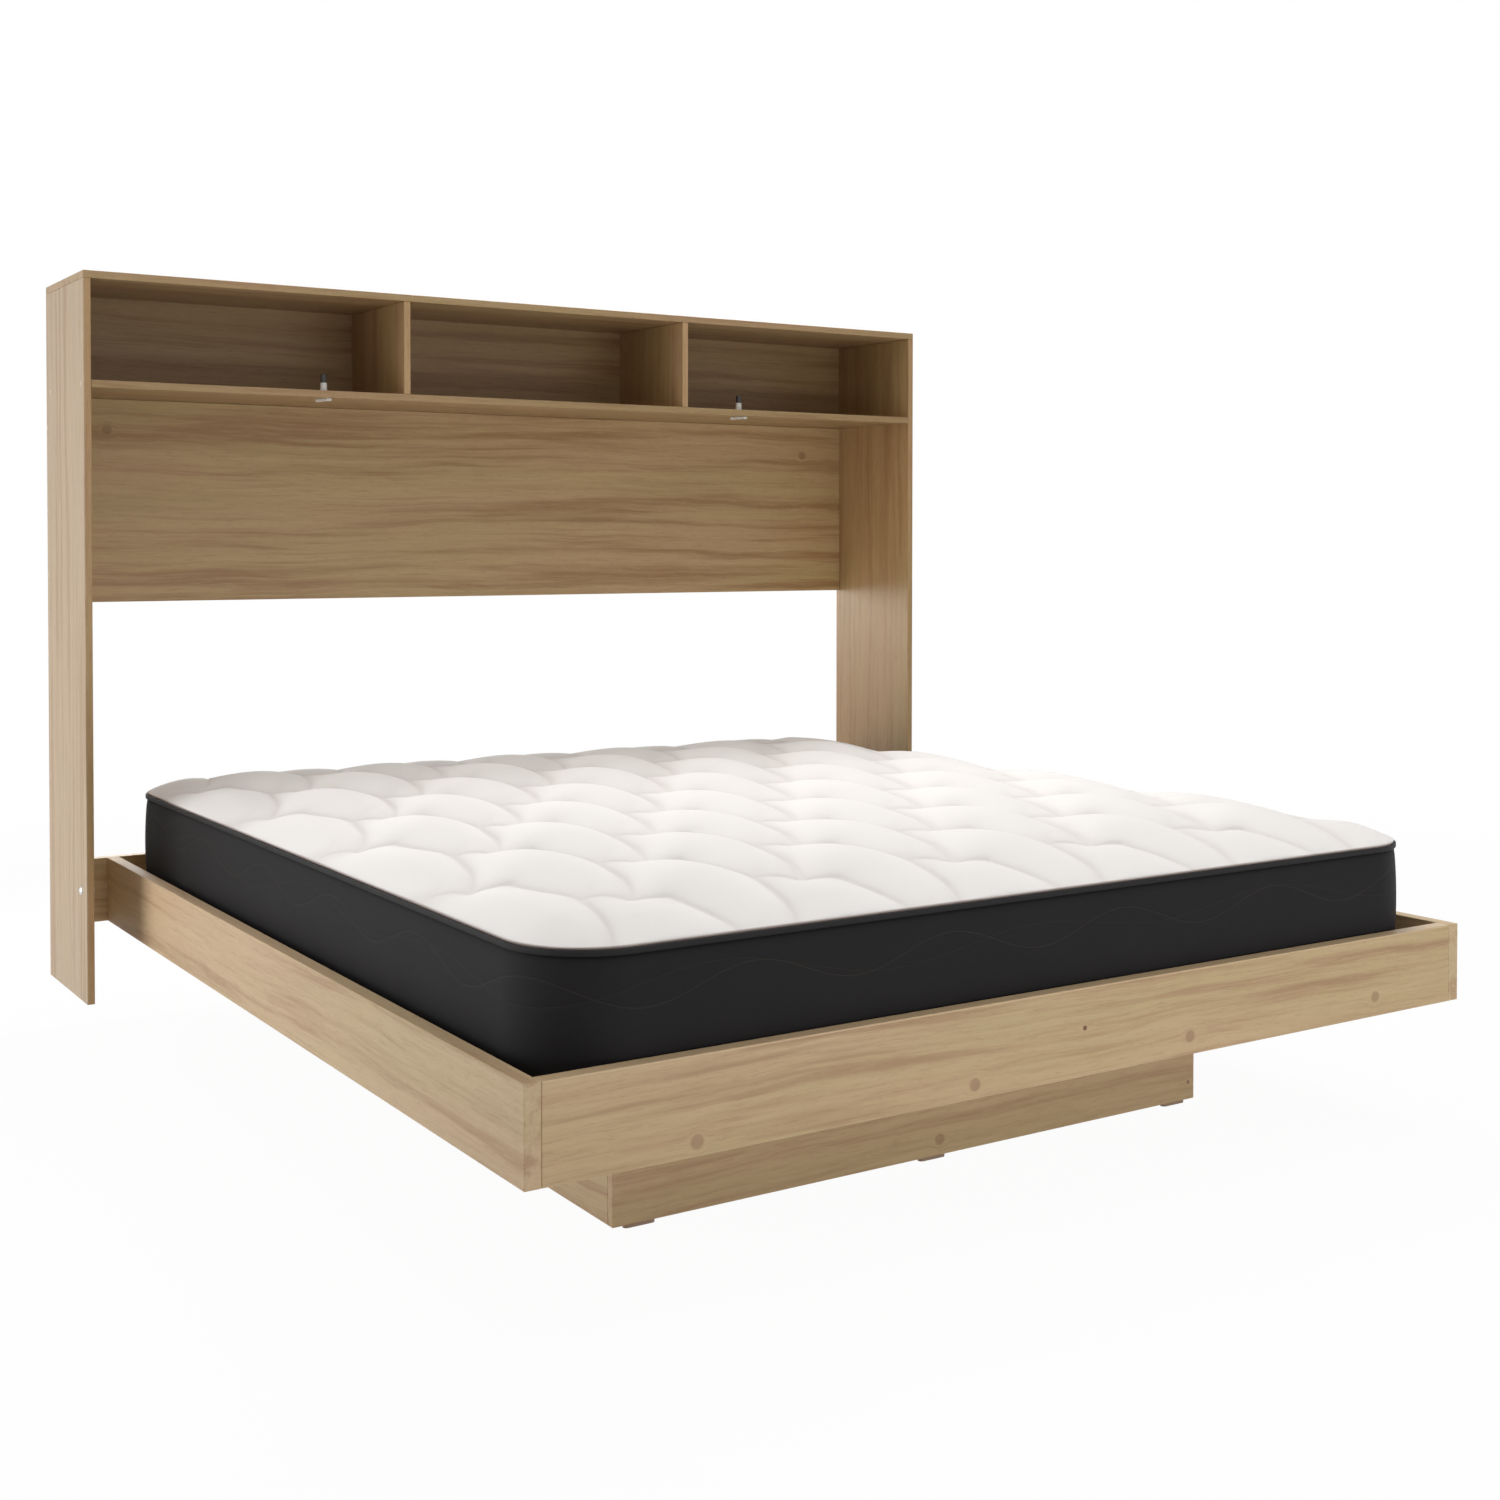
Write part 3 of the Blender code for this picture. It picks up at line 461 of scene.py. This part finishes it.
def puffed_tile():
    """Height of the quilting on one repeating tile, 0 to 1, and the depth of its stitched creases, 0 to 1.

    It is the shape of a skin blown up between the stitches: at each point the skin's curvature and the pull
    of the stitches balance an even pressure. The balance is found by repeated averaging with the four
    neighbours, first on a coarse tile and then on finer ones. A crease is a bell curve of the distance to
    its stitches.
    """
    rounds, least_width = 900, 0.0018
    height = None
    for cells in (36, 72, 144):
        rows = cells * 3 // 2
        step = 2 * COLUMN / cells
        y, x = np.meshgrid((np.arange(rows) + 0.5) * PERIOD / rows, (np.arange(cells) + 0.5) * step, indexing="ij")
        stitch, _ = pattern_distance(x, y, STITCH)
        shell, _ = pattern_distance(x, y, SHELL)
        fold, gone = pattern_distance(x, y, FOLD)
        width = max(least_width, step * 0.6)
        pull = STITCH_PULL * np.exp(-((stitch / width) ** 2)) + SHELL_PULL * np.exp(-((shell / width) ** 2))
        pull += FOLD_PULL * (1 - gone) ** 1.5 * np.exp(-((fold / (width * 2.5)) ** 2))
        if height is None:
            height = np.zeros((rows, cells))
        else:
            height = np.repeat(np.repeat(height, 2, 0), 2, 1)
        for _ in range(rounds):
            around = sum(np.roll(height, turn, axis) for turn in (1, -1) for axis in (0, 1))
            height = (around + step**2) / (4 + pull * step**2)
    crease = np.exp(-((np.minimum(stitch, shell) / CREASE_WIDTH) ** 2))
    return height / height.max(), crease


def on_tile(tile, x, y):
    """Read the tile at each point, blending its four nearest cells; the tile repeats in both directions."""
    rows, cells = tile.shape
    a = (x - NODE_PLACE[0]) / (2 * COLUMN) * cells - 0.5
    b = (y - NODE_PLACE[1]) / PERIOD * rows - 0.5
    i, j = np.floor(a).astype(int), np.floor(b).astype(int)
    s, t = a - i, b - j
    i0, i1, j0, j1 = i % cells, (i + 1) % cells, j % rows, (j + 1) % rows
    low = tile[j0, i0] * (1 - s) + tile[j0, i1] * s
    high = tile[j1, i0] * (1 - s) + tile[j1, i1] * s
    return low * (1 - t) + high * t


def outline_point(u, v, inset):
    """Map the square -1..1 to the rounded outline, drawn in by inset.

    Inside a corner's square both coordinates are drawn in so that the square's two sides fall on an arc.
    """
    half_x, half_y = OUTLINE_HALF[0] - inset, OUTLINE_HALF[1] - inset
    radius = OUTLINE_CORNER - inset
    x, y = u * half_x, v * half_y
    a = np.maximum((np.abs(x) - half_x + radius) / radius, 0)
    b = np.maximum((np.abs(y) - half_y + radius) / radius, 0)
    corner = (a > 0) & (b > 0)
    round_x = np.sign(x) * (half_x - radius + radius * a * np.sqrt(1 - b * b / 2))
    round_y = np.sign(y) * (half_y - radius + radius * b * np.sqrt(1 - a * a / 2))
    x = np.where(corner, round_x, x)
    y = np.where(corner, round_y, y)
    return x + OUTLINE_CENTRE[0], y + OUTLINE_CENTRE[1]


def outline_depth(x, y):
    """How far each point lies inside the rounded outline."""
    a = np.abs(x - OUTLINE_CENTRE[0]) - OUTLINE_HALF[0] + OUTLINE_CORNER
    b = np.abs(y - OUTLINE_CENTRE[1]) - OUTLINE_HALF[1] + OUTLINE_CORNER
    outside = np.hypot(np.maximum(a, 0), np.maximum(b, 0)) + np.minimum(np.maximum(a, b), 0)
    return OUTLINE_CORNER - outside


def smooth_step(share):
    """0 up to 0, 1 from 1 on, and a smooth step between them."""
    share = np.clip(share, 0, 1)
    return share * share * (3 - 2 * share)


def rim_of(rows, columns):
    """Numbers of a grid's outer points, anticlockwise seen from above."""
    last = rows * columns - 1
    foot = np.arange(columns - 1)
    right = np.arange(columns - 1, last, columns)
    head = np.arange(last, last - columns + 1, -1)
    left = np.arange(last - columns + 1, 0, -columns)
    return np.concatenate([foot, right, head, left])


def quilted_top(material):
    """The quilted top: shoulder and puffs over a fine grid, closed below at the seam.

    The shoulder rises with the distance in from the outline as one minus an exponential, and sinks a little
    in a straight ramp over the last 30 cm. The puffs are read from the tile, and two slow sine waves make
    them uneven. They fade within the last 7 cm before the seam, and lie flatter within 25 cm of it and over
    the last half metre or so towards the head.
    """
    columns, rows = 450, 504
    rim_height, shoulder_height, edge_drop = 0.007, 0.034, 0.004
    shoulder_reach, drop_reach, flat_reach, fade_reach = 0.085, 0.30, 0.25, 0.07
    head_start, head_reach = 0.45, 0.45
    v, u = np.meshgrid(np.linspace(-1, 1, rows), np.linspace(-1, 1, columns), indexing="ij")
    x, y = outline_point(u, v, 0.0)
    depth = np.maximum(outline_depth(x, y), 0)
    puff, crease = [on_tile(tile, x, y) for tile in puffed_tile()]
    uneven = 1 + 0.05 * np.sin(7.1 * x + 2.3 * y) + 0.05 * np.sin(5.3 * y - 3.7 * x + 1.0)
    shoulder = 1 - np.exp(-depth / shoulder_reach)
    near_rim = smooth_step(1 - depth / flat_reach)
    near_head = smooth_step((y - head_start) / head_reach)
    fade = np.clip(depth / fade_reach, 0, 1) ** 0.6
    fullness = uneven * (1 - 0.45 * near_rim) * (1 - 0.5 * near_head)
    relief = (PUFF_HEIGHT * puff * fullness - CREASE_DEPTH * crease) * fade
    z = SEAM_HEIGHT + rim_height + shoulder_height * shoulder + relief
    z -= edge_drop * np.clip(1 - depth / drop_reach, 0, 1) * shoulder

    # Two rings lead from the rim down and in to the seam, and a fan closes the inner one
    rim = rim_of(rows, columns)
    ring_u, ring_v = u.ravel()[rim], v.ravel()[rim]
    rings = []
    for inset, height in ((0.002, 0.003), (0.0055, 0.0003)):
        rx, ry = outline_point(ring_u, ring_v, inset)
        rings.append(np.stack([rx, ry, np.full(len(rim), SEAM_HEIGHT + height)], -1))
    centre = np.array([[*OUTLINE_CENTRE, SEAM_HEIGHT + 0.0003]])
    points = np.concatenate([np.stack([x, y, z], -1).reshape(-1, 3), *rings, centre])
    first = rows * columns
    second = first + len(rim)
    turn = np.roll(np.arange(len(rim)), -1)
    here = np.arange(len(rim))
    sides = [
        np.stack([first + here, first + turn, rim[turn], rim], -1),
        np.stack([second + here, second + turn, first + turn, first + here], -1),
    ]
    quads = np.concatenate([grid_quads(rows, columns), *sides])
    fan = np.stack([second + turn, second + here, np.full(len(rim), len(points) - 1)], -1)
    top = solid("quilted_top_cover", points, quads, fan, material)
    # Painted shade for the knit's colour: how far each point lies in a crease or in a hollow between puffs.
    painted_crease_shade = np.zeros(len(points))
    painted_crease_shade[:first] = np.maximum(crease, (1 - puff) ** 6).ravel()
    made = top.data.attributes.new("painted_crease_shade", "FLOAT", "POINT")
    made.data.foreach_set("value", painted_crease_shade.astype(np.float32))
    return top


def outline_ring(count):
    """Shares (u, v) of evenly spaced points round the outline, and the length passed at each."""
    side = np.linspace(-1, 1, 2001)
    ones = np.ones_like(side)
    u = np.concatenate([side, ones, -side, -ones])
    v = np.concatenate([-ones, side, ones, -side])
    x, y = outline_point(u, v, 0.0)
    passed = np.concatenate([[0], np.cumsum(np.hypot(np.diff(x), np.diff(y)))])
    wanted = np.arange(count) / count * passed[-1]
    return np.interp(wanted, passed, u), np.interp(wanted, passed, v), wanted, passed[-1]


def swept_ring(name, profile, material, count=900, closed=True):
    """Carry a profile of (inset, height) points round the mattress's outline.

    A closed profile makes a ring; an open one is closed by a flat lid above and below. The cloth map
    holds the length round the outline and the height.
    """
    u, v, passed, total = outline_ring(count)
    profile = np.array(profile)
    points = []
    for inset, height in profile:
        x, y = outline_point(u, v, inset)
        points.append(np.stack([x, y, np.full(count, height)], -1))
    points = np.concatenate(points)
    quads = grid_quads(len(profile), count, wrap_rows=closed, wrap_columns=True)
    triangles = np.zeros((0, 3), int)
    if not closed:
        last = (len(profile) - 1) * count
        here = np.arange(count)
        turn = np.roll(here, -1)
        lids = np.array([[*OUTLINE_CENTRE, profile[0][1]], [*OUTLINE_CENTRE, profile[-1][1]]])
        low = np.full(count, len(points))
        points = np.concatenate([points, lids])
        triangles = np.concatenate(
            [np.stack([turn, here, low], -1), np.stack([last + here, last + turn, low + 1], -1)]
        )
    ring = solid(name, points, quads, triangles, material)
    corner = np.zeros(len(ring.data.loops), np.int32)
    ring.data.loops.foreach_get("vertex_index", corner)
    column = corner % count
    row = np.minimum(corner // count, len(profile) - 1)
    length = passed[column]
    sizes = np.zeros(len(ring.data.polygons), np.int32)
    ring.data.polygons.foreach_get("loop_total", sizes)
    face = np.repeat(np.arange(len(sizes)), sizes)
    last_cell = face % count == count - 1
    length = np.where(last_cell & (column == 0), total, length)
    height = profile[:, 1][row]
    cloth = ring.data.uv_layers.new(name="cloth")
    cloth.data.foreach_set("uv", np.stack([length, height], -1).astype(np.float32).ravel())
    return ring


def border_profile():
    """Side of the mattress from below: rounded foot, lower seam, a bulge between the seams, upper seam."""
    foot, top = BORDER_LOW.z, SEAM_HEIGHT - 0.0006
    low = LOWER_SEAM_HEIGHT
    wall = np.linspace(0, 1, 17)
    rise = low + 0.008 + (top - 0.009 - low - 0.008) * wall
    bulge = -0.0046 * np.sin(math.pi * wall) ** 0.7
    return [
        (0.030, foot),
        (0.008, foot + 0.0005),
        (0.0015, foot + 0.004),
        (0.0055, low),
        *zip(bulge, rise),
        (0.0030, top - 0.005),
        (0.0055, top),
    ]


def tape_profile(middle):
    """Flat tape folded over the seam: a rounded oblong, 9.2 mm high, standing 3.4 mm outside the outline."""
    turn = np.linspace(0, FULL_TURN, 20, endpoint=False)
    square = np.sign(np.cos(turn)) * np.abs(np.cos(turn)) ** 0.55
    upright = np.sign(np.sin(turn)) * np.abs(np.sin(turn)) ** 0.55
    return list(zip(-0.0008 - 0.0026 * square, middle + 0.0046 * upright))


def screw_caps(material):
    """Low domed covers over the screws in the side panels' outer faces: a quarter circle turned round.

    Its points are the tip, then one ring of points for each further step of the quarter circle, and last
    the middle of the flat foot.
    """
    steps, sides = 5, 24
    cap_radius, cap_height = 0.0058, 0.0008
    here = np.arange(sides)
    after = np.roll(here, -1)
    last_ring = 1 + (steps - 1) * sides
    caps = []
    shelf_low, shelf_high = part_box("niche_shelf")
    back_low, back_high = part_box("lower_back_panel")
    middle = (shelf_low.z + shelf_high.z) / 2
    rear = (back_low.y + back_high.y) / 2
    places = [(0.735, middle), (0.998, middle), (rear - 0.003, 1.290), (rear - 0.003, 0.975)]
    for side, sign in (("left", -1), ("right", 1)):
        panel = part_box(f"headboard_side_panel_{side}")
        face_x = panel[0].x if sign < 0 else panel[1].x
        for number, (y, z) in enumerate(places, 1):
            turn = np.linspace(0, math.pi / 2, steps + 1)[1:, None]
            spin = np.linspace(0, FULL_TURN, sides, endpoint=False)[None, :] * sign
            radius = cap_radius * np.sin(turn)
            out = face_x + sign * cap_height * np.cos(turn) + 0 * spin
            dome = np.stack([out, y + radius * np.cos(spin), z + radius * np.sin(spin)], -1).reshape(-1, 3)
            points = np.concatenate([[(face_x + sign * cap_height, y, z)], dome, [(face_x, y, z)]])
            quads = grid_quads(steps, sides, wrap_columns=True) + 1
            top_fan = np.stack([0 * here, 1 + here, 1 + after], -1)
            foot_fan = np.stack([0 * here + len(points) - 1, last_ring + after, last_ring + here], -1)
            fans = np.concatenate([top_fan, foot_fan])
            caps.append(solid(f"screw_cap_{side}_{number}", points, quads[:, ::-1], fans, material))
    return caps


def ride_mattress(piece, slot_name, *nodes):
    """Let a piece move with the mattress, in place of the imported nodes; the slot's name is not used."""
    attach(piece, "mattress")
    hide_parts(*nodes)


# Camera, floor and light


def set_camera():
    """A 45 mm lens 1.05 m above the floor, left of the bed's foot and turned 33 degrees to the right."""
    place = (-1.9889, -3.1839, 1.0460)
    turned_right, tilted_down, rolled = 0.5760, 0.0208, 0.0009
    lens = bpy.data.cameras.new("camera")
    lens.lens = 45.19
    lens.sensor_width = 36.0
    lens.shift_y = -0.1126
    camera = bpy.data.objects.new("camera", lens)
    SCENE.collection.objects.link(camera)
    turn = Matrix.Rotation(-turned_right, 4, "Z") @ Matrix.Rotation(math.pi / 2 - tilted_down, 4, "X")
    camera.matrix_world = Matrix.Translation(place) @ turn @ Matrix.Rotation(rolled, 4, "Z")
    SCENE.camera = camera


def add_floor():
    """Pale floor: a dull white, which the camera and reflections see mostly as plain white.

    Near the bed a little of its real shade shows, which is the faint shadow; further out there is none.
    For all other rays a fifth of it is a plain glow, no lamp, which lights the bed from below.
    """
    finish = Finish("pale_floor")
    tree = finish.tree
    x, y, z = finish.place()
    cloud = finish.noise(x * 0.8, y * 0.8, z, detail=2.0)
    finish.set("Base Color", finish.mix(cloud, paint(232, 232, 232), paint(236, 236, 236)))
    finish.set("Roughness", 0.9)
    glow = finish.node("ShaderNodeEmission", {"Color": (1, 1, 1, 1), "Strength": 1.0}, output="Emission")
    rays = tree.nodes.new("ShaderNodeLightPath")
    seen = [Wire(finish, rays.outputs[key]) for key in ("Is Camera Ray", "Is Glossy Ray", "Is Transmission Ray")]
    plain_share = ((x * x + y * y) ** 0.5).rise(5.0, 2.2) * 0.04
    # A fifth of the floor glows for every ray: a glow, no lamp, that lights the bed from below.
    share = (seen[0] + seen[1] + seen[2]).at_most(1.0) * (0.80 - plain_share) + 0.20
    plain = Wire(finish, finish.shader.outputs["BSDF"])
    surface = finish.node("ShaderNodeMixShader", (share, plain, glow), output="Shader")
    tree.links.new(surface.socket, tree.nodes["Material Output"].inputs["Surface"])
    count, reach = 5, 14
    edge = np.linspace(-reach, reach, count)
    y, x = np.meshgrid(edge, edge, indexing="ij")
    points = np.stack([x, y, np.zeros_like(x)], -1).reshape(-1, 3)
    floor = solid("floor", points, grid_quads(count, count), np.zeros((0, 3), int), finish.material)


def set_world():
    """Even pale light from all round; the camera and reflections see it as white."""
    world = bpy.data.worlds.new("studio")
    world.use_nodes = True
    SCENE.world = world
    nodes, links = world.node_tree.nodes, world.node_tree.links
    rays = nodes.new("ShaderNodeLightPath")
    seen = rays.outputs["Is Camera Ray"]
    for key in ("Is Glossy Ray", "Is Transmission Ray"):
        either = nodes.new("ShaderNodeMath")
        either.operation = "MAXIMUM"
        links.new(seen, either.inputs[0])
        links.new(rays.outputs[key], either.inputs[1])
        seen = either.outputs[0]
    strength = nodes.new("ShaderNodeMapRange")
    strength.inputs["To Min"].default_value = 0.03
    strength.inputs["To Max"].default_value = 1.0
    links.new(seen, strength.inputs["Value"])
    links.new(strength.outputs[0], nodes["Background"].inputs["Strength"])
    nodes["Background"].inputs["Color"].default_value = (1, 1, 1, 1)


def add_softbox(name, place, aim, size, power, colour=(1, 1, 1)):
    """A rectangular soft lamp at a place, aimed at a point, unseen itself."""
    lamp = bpy.data.lights.new(name, "AREA")
    lamp.shape = "RECTANGLE"
    lamp.size, lamp.size_y = size
    lamp.energy = power
    lamp.color = colour
    box = bpy.data.objects.new(name, lamp)
    direction = Vector(aim) - Vector(place)
    box.matrix_world = Matrix.Translation(place) @ direction.to_track_quat("-Z", "Y").to_matrix().to_4x4()
    box.visible_camera = False
    SCENE.collection.objects.link(box)


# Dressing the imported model

RAIL_LOW, RAIL_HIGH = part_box("foot_rail")
OAK_TONE = (189, 161, 123)
FRONT_Y = RAIL_LOW.y
PLINTH_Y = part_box("plinth_foot_board")[0].y
BACK_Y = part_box("lower_back_panel")[0].y
# Place, radius and darkness of each knot: five on the foot rail, two on the plinth, two on the back panel
KNOTS = (
    ((-0.677, FRONT_Y, 0.239), 0.0105, 0.4),
    ((-0.194, FRONT_Y, 0.240), 0.010, 0.4),
    ((0.255, FRONT_Y, 0.249), 0.010, 0.4),
    ((0.709, FRONT_Y, 0.253), 0.010, 0.4),
    ((0.0258, FRONT_Y, 0.2943), 0.004, 1.0),
    ((0.013, PLINTH_Y, 0.032), 0.010, 0.4),
    ((0.6051, PLINTH_Y, 0.0373), 0.004, 0.7),
    ((-0.928, BACK_Y, 1.288), 0.011, 0.4),
    ((0.909, BACK_Y, 1.279), 0.011, 0.4),
)

cross_oak = printed_oak("oak_grain_across", "X", OAK_TONE, KNOTS[5:7])
# The top board's darker tone is painted shade, which holds down how bright its lit front edge looks.
top_oak_painted_shade = printed_oak("oak_top_board_painted_shade", "X", (169, 140, 104))
# The foot rail's top edge has a painted highlight, a paler strip along it.
rail_oak = printed_oak("oak_foot_rail", "X", OAK_TONE, KNOTS[:5], (("Z", RAIL_HIGH.z, 0.0022),), bold=1.15)
# The back panel's darker, warmer tone is painted shade under the shelf; its bolder grain and its knots are print.
back_oak_painted_shade = printed_oak("oak_back_panel_painted_shade", "X", (181, 152, 110), KNOTS[7:], bold=1.4)
# The niche boards' darker tone is painted shade for the inside of the niches.
niche_oak_painted_shade = printed_oak("oak_niche_boards_painted_shade", "X", (161, 132, 95))
# The side rails' and plinth sides' paler, less saturated tone is a painted sheen, for the grazing reflection on
# their outer faces.
long_oak_painted_sheen = printed_oak("oak_grain_lengthwise_painted_sheen", "Y", (194, 168, 134), dull=0.5)
# The side panels' darker, warmer tone is painted warm shade on their inner faces, and their paler outer tone is
# painted light from the left.
upright_oak_painted_light = printed_oak("oak_grain_upright_painted_light_and_shade", "Z", (174, 142, 101), bold=0.7, outer=(180, 158, 130))
# The dividers' warmer tone is painted warm shade inside the niches.
divider_oak_painted_shade = printed_oak("oak_dividers_painted_shade", "Z", (180, 148, 108), bold=0.7)
cross_pine = planed_pine("pine_grain_across", "X")
long_pine = planed_pine("pine_grain_lengthwise", "Y")
upright_pine = planed_pine("pine_grain_upright", "Z")
zinc = zinc_plate()
white_plastic = moulded_plastic("white_plastic", (214, 213, 208), (224, 223, 219), 0.34)
black_plastic = moulded_plastic("black_plastic", (30, 27, 25), (38, 34, 31), 0.42)
glide_plastic = moulded_plastic("brown_glide_plastic", (146, 121, 102), (154, 129, 108), 0.5)
cap_plastic = moulded_plastic("beige_cap_plastic", (196, 178, 154), (204, 187, 164), 0.4)
knit = quilted_knit()
border = border_cloth()
tape = woven_tape()

# The first entry that a solid's name starts with gives its finish
LOOKS = (
    ("headboard_side_panel", upright_oak_painted_light),
    ("niche_divider", divider_oak_painted_shade),
    ("niche_", niche_oak_painted_shade),
    ("headboard_top_board", top_oak_painted_shade),
    ("lower_back_panel", back_oak_painted_shade),
    ("foot_rail", rail_oak),
    ("side_rail", long_oak_painted_sheen),
    ("plinth_side_board", long_oak_painted_sheen),
    ("plinth_centre_board", long_pine),
    ("plinth_glide", glide_plastic),
    ("cross_bearer", cross_pine),
    ("slat_ledger", long_pine),
    ("slat_", cross_pine),
    ("centre_beam", long_pine),
    ("corner_block", upright_pine),
    ("panel_b", zinc),
    ("switch_button", black_plastic),
    ("switch_", white_plastic),
    ("mattress_quilted_top", knit),
    ("mattress_border", border),
    ("mattress_", tape),
    ("", cross_oak),
)
for node_name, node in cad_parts.items():
    look = next(found for start, found in LOOKS if node_name.startswith(start))
    node.material_slots[0].material = look

top = quilted_top(knit)
ride_mattress(top, "white_quilted_knit", "mattress_quilted_top")
side = swept_ring("mattress_border_cover", border_profile(), border, closed=False)
ride_mattress(side, "charcoal_border_fabric", "mattress_border")
for name, middle, replaced in (
    ("upper_seam_tape", SEAM_HEIGHT, "mattress_top_piping"),
    ("lower_seam_tape", LOWER_SEAM_HEIGHT, "mattress_lower_piping"),
):
    ring = swept_ring(name, tape_profile(middle), tape)
    ride_mattress(ring, "charcoal_border_fabric", replaced)
for cap in screw_caps(cap_plastic):
    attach(cap, "bedstead")

set_camera()
add_floor()
set_world()
add_softbox("rear_high_softbox", (1.8, 1.6, 4.1), (0.0, -0.1, 0.5), (2.0, 1.8), 125)
add_softbox("overhead_softbox", (-0.2, -0.6, 4.6), (0.0, 0.0, 0.5), (5.0, 5.0), 120, (1.0, 0.97, 0.96))
add_softbox("front_high_softbox", (-0.8, -3.8, 3.2), (0.0, 0.0, 0.6), (2.0, 1.5), 18)
add_softbox("left_softbox", (-3.6, 0.9, 0.75), (-1.0, 0.5, 0.6), (2.6, 1.8), 59)
add_softbox("head_gap_softbox", (0.0, 2.5, 1.0), (0.0, 0.6, 0.5), (1.5, 0.6), 14)
add_softbox("low_front_softbox", (0.6, -3.3, 0.30), (0.5, -0.7, 0.1), (2.8, 0.4), 24)
